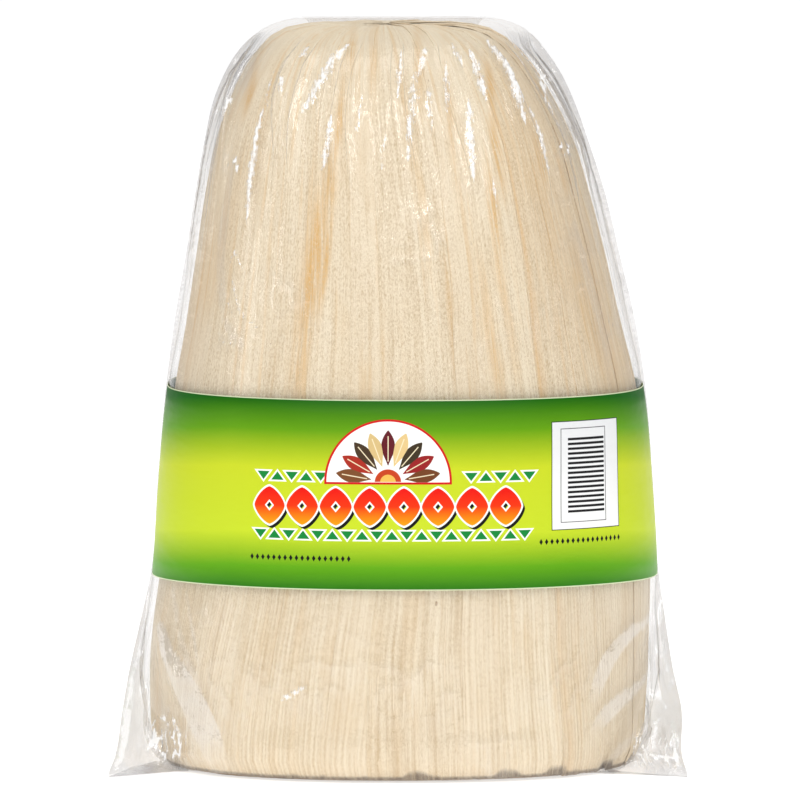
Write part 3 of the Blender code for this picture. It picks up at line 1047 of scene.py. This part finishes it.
def off_path(flat, path):
    """How far each point of the film is from a curve through these places, and how far along it."""
    line = through(path, np.arange(len(path)), np.linspace(0.0, len(path) - 1.0, PATH_STEPS))
    nearest, share = np.full(flat.shape[:2], np.inf), np.zeros(flat.shape[:2])
    for number, (start, end) in enumerate(zip(line, line[1:])):
        step = end - start
        along = np.clip((flat - start) @ step / (step @ step), 0.0, 1.0)
        off = np.linalg.norm(flat - start - along[..., None] * step, axis=-1)
        share = np.where(off < nearest, (number + along) / (PATH_STEPS - 1), share)
        nearest = np.minimum(off, nearest)
    return nearest, share


def mark_front(flat, stand, haze, glint, is_front, seed):
    """Adds the front film's creases and veils to how far it stands up, how milky it is and how strong its
    painted glint is.
    """
    for path, width, crease_glint in CREASES:
        off, share = off_path(flat, path)
        reach = width * 1.7 * np.sin(share * math.pi) ** 0.6 + 0.3
        whole_length = eased(1.2 - np.abs(share - 0.5) * 2.0)
        stand = stand + CREASE_STAND * crease_glint * np.exp(-off / width) * whole_length * is_front
        glint = np.maximum(glint, crease_glint * np.maximum(1.0 - off / reach, 0.0) ** 0.8 * is_front)
    for path, width, strength in VEILS:
        off, share = off_path(flat, path)
        reach = width * (0.4 + 0.6 * np.sin(share * math.pi * 0.8))
        thin = (0.8 + 0.2 * soft_noise(flat / 5.0, seed + 9)) * eased((1.0 - share) * 3.0 + 0.3)
        haze = np.maximum(haze, strength * thin * eased((reach - off) / 0.8 + 0.5) * is_front)
    return stand, haze, glint


def pushed_out(points):
    """The film's points again, each one that would lie in the husks moved out to their outside."""
    half_width, half_depth, lean = form_at(points[..., 2])
    off_middle = np.abs(points[..., 0] - lean) / (half_width + FILM_CLEARANCE)
    off_centre = np.abs(points[..., 1]) / (half_depth + FILM_CLEARANCE)
    fullness = off_middle ** SQUARENESS + off_centre ** SQUARENESS
    push = np.where(points[..., 2] > 0.9, np.maximum(fullness, 1e-6) ** (-1 / SQUARENESS), 1.0)
    push = np.clip(push, 1.0, 1.06)
    across = lean + (points[..., 0] - lean) * push
    return np.stack([across, points[..., 1] * push, np.maximum(points[..., 2], 0.05)], axis=-1)


def slack_at(points, level):
    """How slack the film is: taut over the middle of the husks, looser round their sides and the fins."""
    half_width, _, lean = form_at(points[..., 2])
    half_width = half_width + FILM_CLEARANCE
    off_middle = np.abs(points[..., 0] - lean)
    slack = 0.5 * eased((off_middle / half_width - 0.5) / 0.5)
    slack += 0.5 * eased((off_middle - half_width) / 4.0 + 0.5)
    return slack * (1.0 - 0.7 * eased((level - NECK_BEGINS) / 6.0)[:, None])


def film_sheet(name, face, rows, columns, pleats, seed):
    """One sheet of the bag, pleated, crumpled and creased, the front one where the face is -1."""
    sheet, wanted, level = smooth_sheet(face, rows)
    girth = np.linalg.norm(np.diff(sheet, axis=1), axis=2).sum(axis=1)
    film_width = girth.max() * 1.01
    film = np.linspace(0.0, film_width, columns)[None, :]
    to_seam = np.minimum(film, film_width - film)
    above = eased((level - BAND_TOP) / 40.0)[:, None]
    below = eased((BAND_BOTTOM - level) / 34.0)[:, None] * eased(level / 4.0)[:, None]
    loose = above + below
    run, stand = lay_pleats(film, girth, wanted, level, loose, below, pleats, seed)

    # Its wrinkles: slow swells, and sharp ridges in patches and near the seams.
    here = np.stack(np.broadcast_arrays(film, wanted[:, None]), axis=-1)
    high = eased((level - 170.0) / 50.0)[:, None]
    slow = soft_noise(here / (15.0, 42.0), seed + 2) * 0.8 + soft_noise(here / (6.0, 20.0), seed + 3) * 0.35
    slow = slow + soft_noise(here / (2.4, 40.0), seed + 7) * (0.05 + 0.3 * high)
    slow = slow + soft_noise(here / (5.0, 60.0), seed + 8) * 0.5 * high
    sharp, sharper, finest = (
        np.maximum(1.0 - np.abs(soft_noise(here / size, seed + turn)) * 3.0, 0.0)
        for size, turn in (((7.0, 9.0), 4), ((3.4, 5.0), 5), ((2.3, 3.0), 10))
    )
    patchy = eased(soft_noise(here / (26.0, 30.0), seed + 6) * 1.6)
    near_seam = np.exp(-to_seam / 9.0)
    crumple = (sharp * 0.4 + sharper * 0.22) * (patchy + near_seam * 0.6)

    film_at, out_at = read_along(sheet, run), read_along(outward_of(sheet, face), run)
    flat = film_at[..., [0, 2]]
    crumpled = np.zeros(run.shape)
    for x, z, reach, strength in CRUMPLES:
        off_square = (flat[..., 0] - x) ** 2 + (flat[..., 1] - z) ** 2
        crumpled = np.maximum(crumpled, strength * np.exp(-off_square / reach ** 2))
    crumple = crumple * (1.0 + crumpled * 2.5) + finest * crumpled * 0.5
    stand = (stand + (slow + crumple) * loose) * (0.12 + 0.88 * loose)
    haze = np.clip((crumple * 0.31 + finest * crumpled * 0.7) * loose + near_seam * 0.19, 0.0, 1.0)
    glint = np.zeros(run.shape)
    if face < 0:
        # Painted glints: white sparkles on the hardest crumples, whatever the light.
        glint = eased((finest - 0.25) / 0.3) * eased((crumpled - 0.2) / 0.35) * 1.1 * loose
        stand, haze, glint = mark_front(flat, stand, haze, glint, level[:, None] < FRONT_ENDS, seed)
    stand = stand * (1.0 - 0.85 * eased((level - 236.0) / 8.0)[:, None])
    stand = np.maximum(stand, -0.5) * eased(to_seam / 4.5)
    points = film_at + out_at * stand[..., None]
    slack = slack_at(points, level)
    points = pushed_out(points)

    index = np.arange(rows * columns).reshape(rows, columns)
    corners = [index[:-1, :-1], index[:-1, 1:], index[1:, 1:], index[1:, :-1]]
    if face > 0:
        corners.reverse()
    faces = np.stack(corners, axis=-1).reshape(-1, 4)
    mesh = bpy.data.meshes.new(name)
    mesh.from_pydata((points.reshape(-1, 3) * MM).tolist(), [], faces.tolist())
    mesh.shade_smooth()
    for label, values in (("veil", haze), ("slack", slack), ("whitened", glint)):
        mesh.attributes.new(label, "FLOAT", "POINT").data.foreach_set("value", values.ravel())
    piece = bpy.data.objects.new(name, mesh)
    bpy.context.scene.collection.objects.link(piece)
    return piece


# The film is clear, with a faint grey veil, and mirrors the lamps more the more it turns away. Where it is
# creased or crumpled hard, painted glints in fine broken white strokes stand in for highlights, whatever the
# light. Small crinkles break up its shine.
FILM_TINT = (0.945, 0.94, 0.937, 1.0)
TAUT_SHEEN = (0.95, 0.95, 0.95, 1.0)
SLACK_SHEEN = (0.64, 0.63, 0.635, 1.0)
GLINT_WHITE = (0.98, 0.98, 0.98, 1.0)
film_finish, bench, surface = shader_bench("clear_film")
object_place = bench.node("ShaderNodeTexCoord", out=3)
place_x, place_y, place_z = bench.parts(object_place)
veil, slack, held_glint = (held(label, 2) for label in ("veil", "slack", "whitened"))
turned_away = bench.node("ShaderNodeLayerWeight", None, Blend=0.5, out=1)
smudge = bench.noise(object_place, scale=45.0, detail=3.0).between(0.45, 0.75)
brushed = bench.noise(bench.vector(place_x * 1500.0, place_z * 190.0), detail=3.0) - 0.5
flaky = bench.noise(object_place, scale=650.0, detail=1.0) - 0.5
# The painted glint, broken into fine strokes and flakes.
whitened = (held_glint + brushed * 1.2 + flaky * 0.8).between(0.34, 0.98) * (held_glint > 0.02)

# Over the tips the film is pressed onto the husks, and less of it shows.
pressed = place_z.between(0.2435, 0.2485) * (1.0 - place_y.between(0.0, 0.02))
cover = 0.07 + turned_away ** 4.0 * (0.18 + slack * 0.44) + smudge * 0.03 + veil * 0.5 + slack * 0.1
cover = (cover * (1.0 - pressed * 0.75)).most(whitened * 0.85).least(0.95)
milky = (turned_away.between(0.3, 0.75) * (1.0 - slack)).most(veil * 0.4)
crinkle = bench.noise(object_place, scale=420.0, detail=2.0)
crinkle = crinkle + bench.noise(object_place, scale=130.0, detail=1.0) * 1.6
stretched = {"operation": "MULTIPLY"}
facet_place = bench.node("ShaderNodeVectorMath", stretched, object_place, (150.0, 150.0, 60.0))
to_edge = {"feature": "DISTANCE_TO_EDGE"}
facets = bench.node("ShaderNodeTexVoronoi", to_edge, Vector=facet_place, Scale=1.0)
crinkle = crinkle + facets.least(0.25) * 6.0 * veil
bump = bench.node("ShaderNodeBump", None, Strength=0.5, Distance=0.0005, Height=crinkle)
sheen = bench.blend(slack, TAUT_SHEEN, SLACK_SHEEN)
sheen = bench.blend(whitened, sheen, GLINT_WHITE)
shine = (0.8 - milky * 0.65) * (1.0 - whitened)
set_surface(bench, surface, Base_Color=sheen, Metallic=shine, Roughness=0.17, Normal=bump)
clear = bench.node("ShaderNodeBsdfTransparent", None, FILM_TINT)
mixed = bench.node("ShaderNodeMixShader", None, cover, clear, Wire(bench, surface.outputs["BSDF"]))
bench.tree.links.new(mixed.socket, bench.tree.nodes["Material Output"].inputs["Surface"])

for name, face, rows, columns, pleats, seed in (
    ("film_front", -1, 240, 410, 25, 11),
    ("film_back", 1, 120, 380, 22, 23),
):
    sheet = film_sheet(name, face, rows, columns, pleats, seed)
    sheet.data.materials.append(film_finish)
    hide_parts("film_bag")
    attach(sheet, "root")


# The band: a printed strip of thicker film, pulled round the bag and lapped at the back. Its print is a
# green ground that turns yellow-green in the middle, two rows of small triangles, a half disc, a row of
# ornament and a framed panel.
BAND_GAP = 0.4
BAND_WALL = 0.14
BAND_LAP = 14.0
BAND_LAP_LIFT = 0.35
BAND_WIDTH = BAND_TOP - BAND_BOTTOM
BAND_COLUMNS = 420
BAND_ROWS = 12
BAND_FRONT_LIFT = (1.5, 0.6)


def band_outline(height, count):
    half_width, half_depth, lean = form_at(height)
    outside = FILM_GAP + BAND_GAP
    angles = np.linspace(-1.5 * math.pi, 0.5 * math.pi, 3600)
    return evenly(oblong(angles, half_width + outside, half_depth + outside, lean), count)


def band_mesh():
    """The band's strip, row by row, holding the place of each point on its print."""
    rows, prints = [], []
    for row in range(BAND_ROWS + 1):
        share = row / BAND_ROWS
        height = BAND_BOTTOM + BAND_WIDTH * share
        ring = band_outline(height, BAND_COLUMNS)
        girth = np.linalg.norm(np.diff(ring, axis=0), axis=1).sum()
        lap = int(BAND_LAP / girth * BAND_COLUMNS)
        ring = np.vstack([ring, ring[1:lap + 1]])
        number = np.arange(len(ring))
        toward = np.gradient(ring, axis=0)
        outward = np.stack([toward[:, 1], -toward[:, 0]], axis=-1)
        outward /= np.linalg.norm(outward, axis=1, keepdims=True)
        lapped = eased((number - BAND_COLUMNS + 14) / 12.0)
        ring = ring + outward * (BAND_LAP_LIFT * lapped)[:, None]
        lift = BAND_FRONT_LIFT[0] * (1 - share) + BAND_FRONT_LIFT[1] * share
        rows.append(np.column_stack([ring, height + lift * eased(-ring[:, 1] / 60.0)]))
        along = number / (BAND_COLUMNS - 1) * girth - girth / 2
        prints.append(np.column_stack([along, np.full(len(ring), share * BAND_WIDTH), np.zeros(len(ring))]))
    points, prints = np.array(rows), np.array(prints)
    index = np.arange(points.shape[0] * points.shape[1]).reshape(points.shape[:2])
    corners = [index[:-1, :-1], index[:-1, 1:], index[1:, 1:], index[1:, :-1]]
    faces = np.stack(corners, axis=-1).reshape(-1, 4)
    mesh = bpy.data.meshes.new("band")
    mesh.from_pydata((points.reshape(-1, 3) * MM).tolist(), [], faces.tolist())
    mesh.shade_smooth()
    print_places = mesh.attributes.new("print_place", "FLOAT_VECTOR", "POINT")
    print_places.data.foreach_set("vector", prints.ravel())
    return mesh


band = bpy.data.objects.new("band", band_mesh())
bpy.context.scene.collection.objects.link(band)
wall = band.modifiers.new("thickness", "SOLIDIFY")
wall.thickness = BAND_WALL * MM
wall.offset = 1.0
wall.use_even_offset = False

middle_ring = band_outline((BAND_BOTTOM + BAND_TOP) / 2, 4000)
middle_run = np.concatenate([[0.0], np.cumsum(np.linalg.norm(np.diff(middle_ring, axis=0), axis=1))])
front_part = middle_ring[:, 1] < 0.0


def along_band(across):
    """How far along the band, from its front middle, a print at this distance across lies."""
    return float(np.interp(across, middle_ring[front_part, 0], middle_run[front_part]) - middle_run[-1] / 2)


band_finish, bench, surface = shader_bench("printed_band")
print_u, print_v, _ = bench.parts(held("print_place", 1))
GROUND = (
    (0.0, (30, 115, 0)),
    (0.12, (95, 165, 10)),
    (0.3, (198, 218, 40)),
    (0.64, (198, 212, 35)),
    (0.84, (95, 155, 0)),
    (1.0, (10, 100, 0)),
)
SLANT_FROM, SLANT = 60.0, 0.0011
height_share = print_v / BAND_WIDTH
slant = (abs(print_u) - SLANT_FROM).most(0.0) * SLANT
ground_stops = [(place, colour(*tint)[:3]) for place, tint in GROUND]
shade = bench.node("ShaderNodeValToRGB", {"stops": ground_stops}, height_share + slant)


def inked(under, distance, ink, reach=0.0):
    """Prints ink where a shape's distance, in millimetres, is less than reach, with a crisp edge."""
    return bench.blend(1.0 - distance.between(reach - 0.05, reach + 0.05), under, ink)


def repeated(u, first, period, count):
    """How far along a place lies from the nearest of a row's motifs."""
    nearest = ((u - first) / period + 0.5).maths("FLOOR").most(0.0).least(count - 1.0)
    return u - first - nearest * period


def triangle_row(middle_v, first_u, downs, ups):
    """A row of triangles that point down and up in turn, the first one down."""
    half_base, height, step = 2.2, 2.85, 4.93
    slope = height / math.hypot(height, half_base)
    off = print_v - middle_v
    down = abs(repeated(print_u, first_u, step * 2, downs)) - (off + height / 2) * (half_base / height)
    up = abs(repeated(print_u, first_u + step, step * 2, ups)) - (height / 2 - off) * (half_base / height)
    return (down * slope).most(off - height / 2).least((up * slope).most(-off - height / 2))


WHITE = colour(252, 252, 248)
BLACK = colour(12, 12, 10)
TRIANGLE_GREEN = colour(14, 132, 56)
for row in (
    triangle_row(38.1, along_band(-45.2), 3, 2),
    triangle_row(38.1, along_band(23.5), 3, 2),
    triangle_row(18.5, along_band(-46.2), 10, 9),
):
    shade = inked(shade, row, WHITE, 0.52)
    shade = inked(shade, row, TRIANGLE_GREEN)

# The row of ornament: plump lozenges with a hole, red above and orange below, on a white edge with a black
# shadow.
ORNAMENTS = 8
ORNAMENT_STEP = 11.3
ORNAMENT_HALF = (5.35, 6.3)
ORNAMENT_PLUMPNESS = 1.45
ORNAMENT_ROUNDNESS = 4.4
HOLE_SHARE = 0.3
SHADOW_SHIFT = (0.8, -0.95)
SHADOW_EDGE, WHITE_EDGE = 0.35, 0.5
ORNAMENT_V = 28.1
ORNAMENT_FIRST = along_band(-43.2)


def ornament(shift_u, shift_v):
    off_u = abs(repeated(print_u - shift_u, ORNAMENT_FIRST, ORNAMENT_STEP, ORNAMENTS))
    off_v = abs(print_v - shift_v - ORNAMENT_V)
    half_u, half_v = ORNAMENT_HALF
    fullness = (off_u / half_u) ** ORNAMENT_PLUMPNESS + (off_v / half_v) ** ORNAMENT_PLUMPNESS
    lozenge = (fullness ** (1 / ORNAMENT_PLUMPNESS) - 1.0) * ORNAMENT_ROUNDNESS
    hole = (1.0 - off_u / (half_u * HOLE_SHARE) - off_v / (half_v * HOLE_SHARE)) * 1.2
    return lozenge.most(hole)


HEAT = ((0.0, (250, 160, 0)), (0.5, (240, 52, 0)), (1.0, (230, 4, 4)))
heat_share = (print_v - (ORNAMENT_V - ORNAMENT_HALF[1])) / (2 * ORNAMENT_HALF[1])
heat_stops = [(place, colour(*tint)[:3]) for place, tint in HEAT]
heat = bench.node("ShaderNodeValToRGB", {"stops": heat_stops}, heat_share)
face_row, shadow_row = ornament(0.0, 0.0), ornament(*SHADOW_SHIFT)
shade = inked(shade, shadow_row, BLACK, SHADOW_EDGE)
shade = inked(shade, face_row, WHITE, WHITE_EDGE)
shade = inked(shade, face_row, heat)

# The half disc: white with a red rim, and in it a fan of leaves over a small sun.
DISC_U, DISC_V, DISC_RADIUS = along_band(-4.0), 36.4, 20.4
disc_u, disc_v = print_u - DISC_U, print_v - DISC_V
disc_run = (disc_u * disc_u + disc_v * disc_v) ** 0.5
disc = (disc_run - DISC_RADIUS).most(-disc_v)
shade = inked(shade, disc, colour(206, 20, 22), 0.75)
shade = inked(shade, disc, WHITE)
FAN_LEAVES = 9
LEAF_FROM, LEAF_TO = 5.6, 17.4
LEAF_RIB_FROM, LEAF_RIB_TO, LEAF_RIB_HALF = 7.0, 15.5, 0.16
SUN_RADIUS, SUN_CORE_RADIUS = 4.4, 2.6
turn_share = disc_v.maths("ARCTAN2", disc_u) / math.pi
leaf_part = abs((turn_share * FAN_LEAVES) % 1.0 - 0.5)
leaf_number = (turn_share * FAN_LEAVES).maths("FLOOR")
leaf_width = disc_run * (math.pi / FAN_LEAVES) * leaf_part
leaf_belly = ((disc_run - 5.4) / 12.2).most(0.0).least(1.0)
leaf_shape = leaf_width - (leaf_belly * math.pi).maths("SINE") * (1.25 + leaf_belly * 1.9)
leaf_shape = leaf_shape.most(LEAF_FROM - disc_run).most(disc_run - LEAF_TO).most(-disc_v)
LEAF_INKS = (
    (112, 62, 30), (150, 30, 32), (60, 48, 30), (226, 196, 136), (96, 24, 34),
    (214, 186, 128), (70, 52, 34), (168, 44, 30), (122, 74, 40),
)
inks = [(number / FAN_LEAVES, colour(*ink)[:3]) for number, ink in enumerate(LEAF_INKS)]
leaf_ink = bench.node("ShaderNodeValToRGB", {"stops": inks}, (leaf_number + 0.5) / FAN_LEAVES)
leaf_ink.socket.node.color_ramp.interpolation = "CONSTANT"
shade = inked(shade, leaf_shape, leaf_ink)
rib_ends = (LEAF_RIB_FROM - disc_run).most(disc_run - LEAF_RIB_TO)
rib_line = (leaf_width - LEAF_RIB_HALF).most(rib_ends).most(-disc_v)
shade = inked(shade, rib_line, colour(240, 226, 190))
for radius, ink in ((SUN_RADIUS, colour(196, 64, 24)), (SUN_CORE_RADIUS, colour(236, 186, 84))):
    shade = inked(shade, (disc_run - radius).most(0.15 - disc_v), ink)

# The framed panel: white, with plain stripes in an inner frame.
PANEL_U = along_band(50.4), along_band(72.4)
PANEL_V = (19.6, 55.6)
FRAME_HALF, FRAME_SHIFT, FRAME_LINE = (9.0, 15.7), 1.4, 0.14
STRIPES, STRIPE_STEP, STRIPE_HALF = 16, 1.62, (7.4, 0.42)
STRIPE_SHIFT = 0.4
panel_mid_u, panel_mid_v = sum(PANEL_U) / 2, sum(PANEL_V) / 2
panel_u, panel_v = abs(print_u - panel_mid_u), abs(print_v - panel_mid_v)
panel = (panel_u - (PANEL_U[1] - PANEL_U[0]) / 2).most(panel_v - (PANEL_V[1] - PANEL_V[0]) / 2)
silver = bench.blend(height_share.between(0.2, 0.9), colour(250, 250, 248), colour(228, 229, 230))
shade = inked(shade, panel, colour(34, 52, 26), 0.3)
shade = inked(shade, panel, silver)
inner = (abs(print_u - panel_mid_u + FRAME_SHIFT) - FRAME_HALF[0]).most(panel_v - FRAME_HALF[1])
inner_frame = abs(inner) - FRAME_LINE
shade = inked(shade, inner_frame, colour(90, 88, 92))
first_stripe = panel_mid_v - STRIPE_STEP * (STRIPES - 1) / 2
stripe = abs(repeated(print_v, first_stripe, STRIPE_STEP, STRIPES)) - STRIPE_HALF[1]
stripe = stripe.most(abs(print_u - panel_mid_u + STRIPE_SHIFT) - STRIPE_HALF[0])
shade = inked(shade, stripe, colour(24, 24, 26))

# Two short rows of small black lozenges, low on the left and higher on the right.
BEAD_ROWS = ((10.6, -49.0, 18), (15.6, 46.6, 17))
BEAD_STEP, BEAD_HALF = 1.95, (0.62, 1.05)
for middle_v, first_u, count in BEAD_ROWS:
    bead_u = abs(repeated(print_u, along_band(first_u), BEAD_STEP, count)) / BEAD_HALF[0]
    bead = (bead_u + abs(print_v - middle_v) / BEAD_HALF[1] - 1.0) * 0.5
    shade = inked(shade, bead, BLACK)
EDGE_LINE = 0.35
cut_edge = (print_v - EDGE_LINE).least(BAND_WIDTH - EDGE_LINE - print_v)
shade = inked(shade, cut_edge, colour(226, 236, 196))
object_place = bench.node("ShaderNodeTexCoord", out=3)
ripple = bench.noise(bench.vector(print_u * 0.05, print_v * 0.14), detail=2.0)
wobble = bench.noise(object_place, scale=240.0, detail=2.0)
bump = bench.node("ShaderNodeBump", None, Strength=0.25, Distance=0.002, Height=ripple + wobble * 0.06)
set_surface(
    bench, surface, Base_Color=shade, Roughness=0.36 + wobble * 0.12, Normal=bump, Specular_IOR_Level=0.16,
)
band.data.materials.append(band_finish)
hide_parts("label_band")
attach(band, "root")
